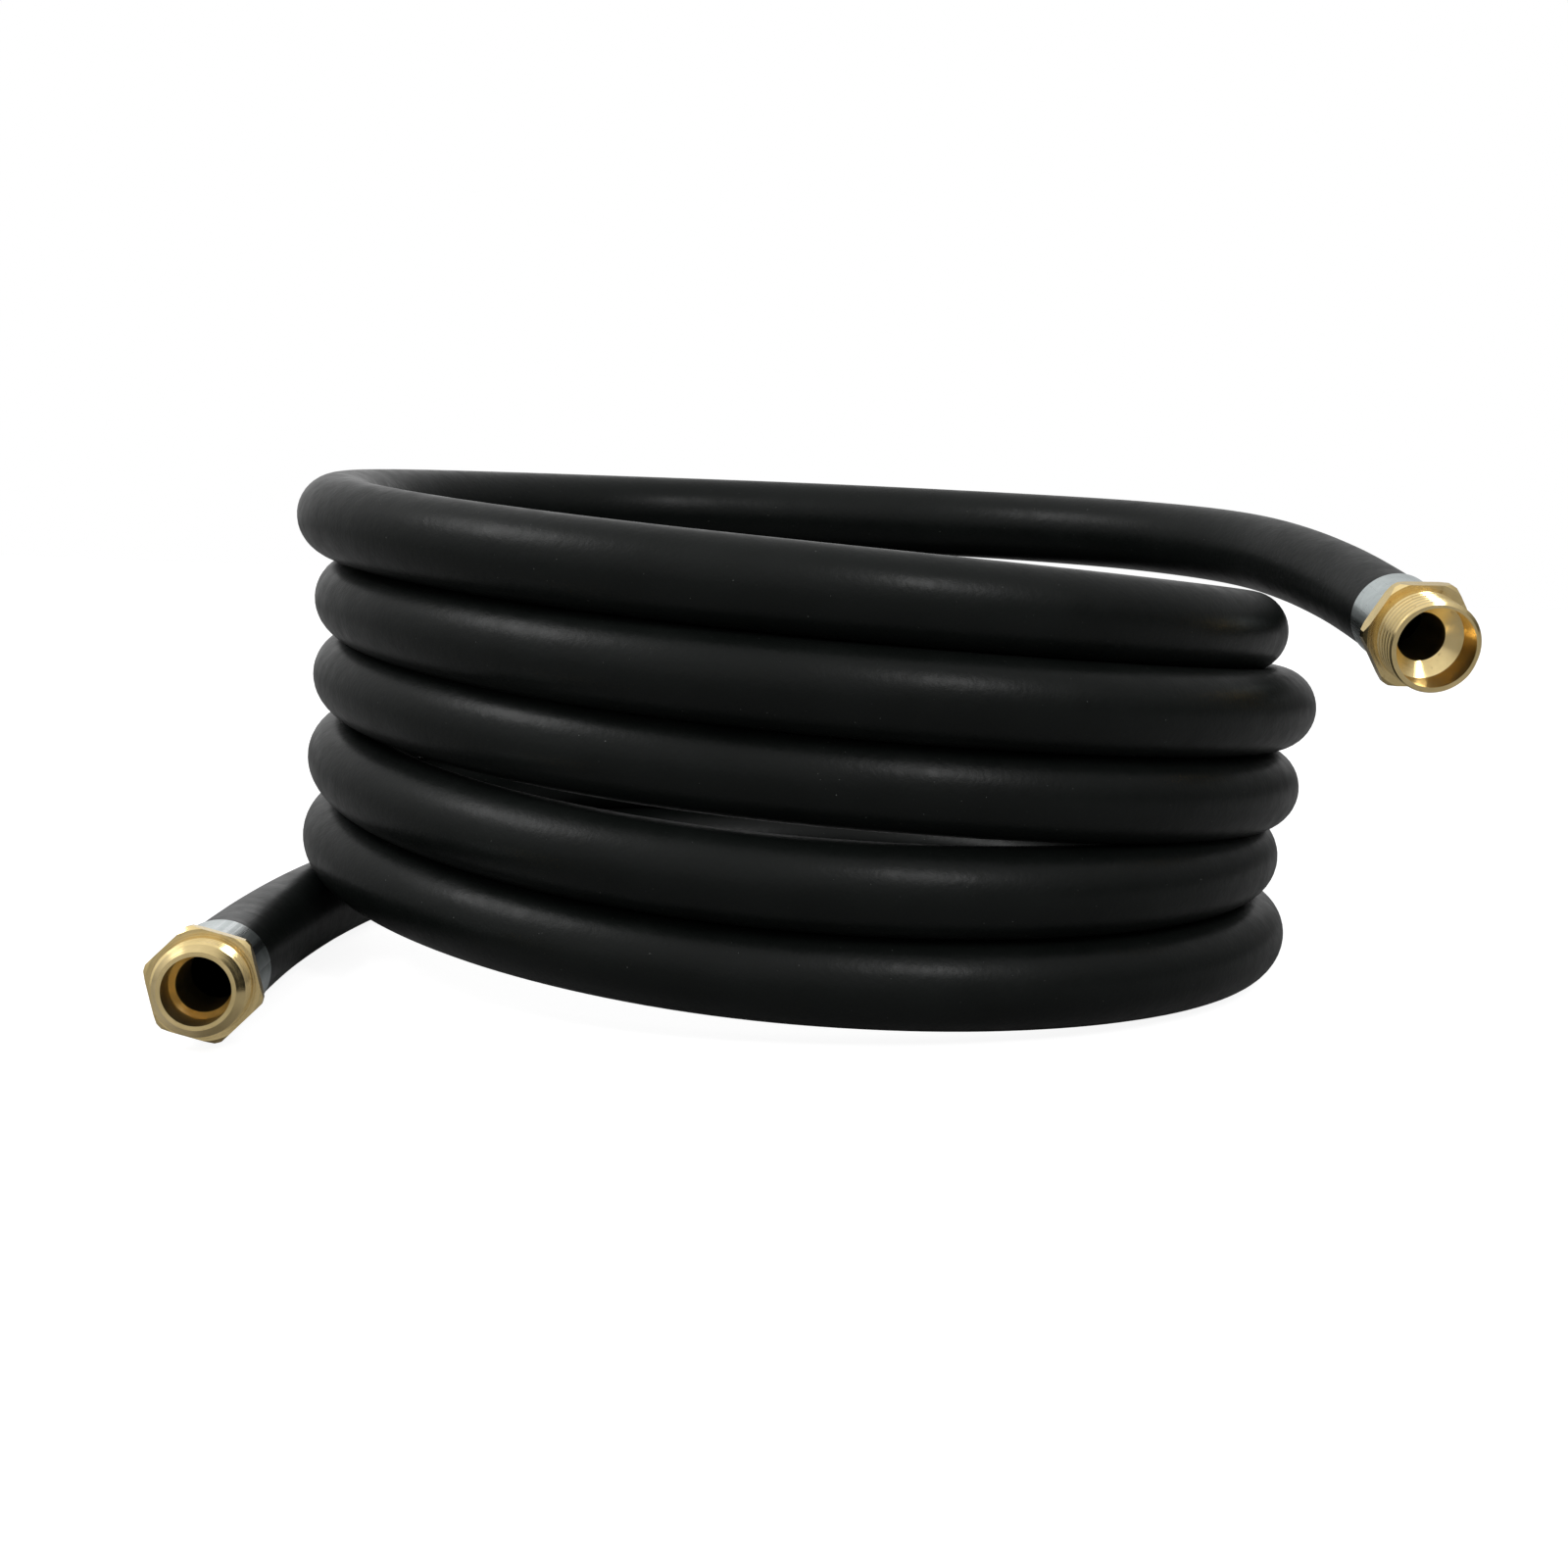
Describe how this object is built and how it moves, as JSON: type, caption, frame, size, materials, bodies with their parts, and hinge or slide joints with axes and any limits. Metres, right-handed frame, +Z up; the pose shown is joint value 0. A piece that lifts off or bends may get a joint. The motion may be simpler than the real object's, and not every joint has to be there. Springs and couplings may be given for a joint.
{
  "type": "coiled water hose",
  "caption": "Black rubber water hose wound in a neat upright coil, with a brass male threaded hexagon coupling and a plain metal sleeve on each free end.",
  "frame": {"origin": "on the floor, under the middle of the whole part's outline seen from above", "axes": "+Z up, along the coil's height. +X towards the free end that leaves the top of the coil, -Y the way that both couplings point"},
  "size_m": [0.3604, 0.3441, 0.1509],
  "materials": {
    "hose_cover": "smooth satin black",
    "hose_braid": "woven textile reinforcement",
    "hose_liner": "smooth black",
    "ferrule": "dull zinc plate",
    "coupling": "turned, satin"
  },
  "bodies": {
    "root": {"hose_coil": "hose_cover", "top_hose_cover": "hose_cover", "top_hose_braid": "hose_braid", "top_hose_liner": "hose_liner", "top_ferrule": "ferrule", "top_coupling": "coupling", "bottom_hose_cover": "hose_cover", "bottom_hose_braid": "hose_braid", "bottom_hose_liner": "hose_liner", "bottom_ferrule": "ferrule", "bottom_coupling": "coupling"}
  },
  "joints": []
}
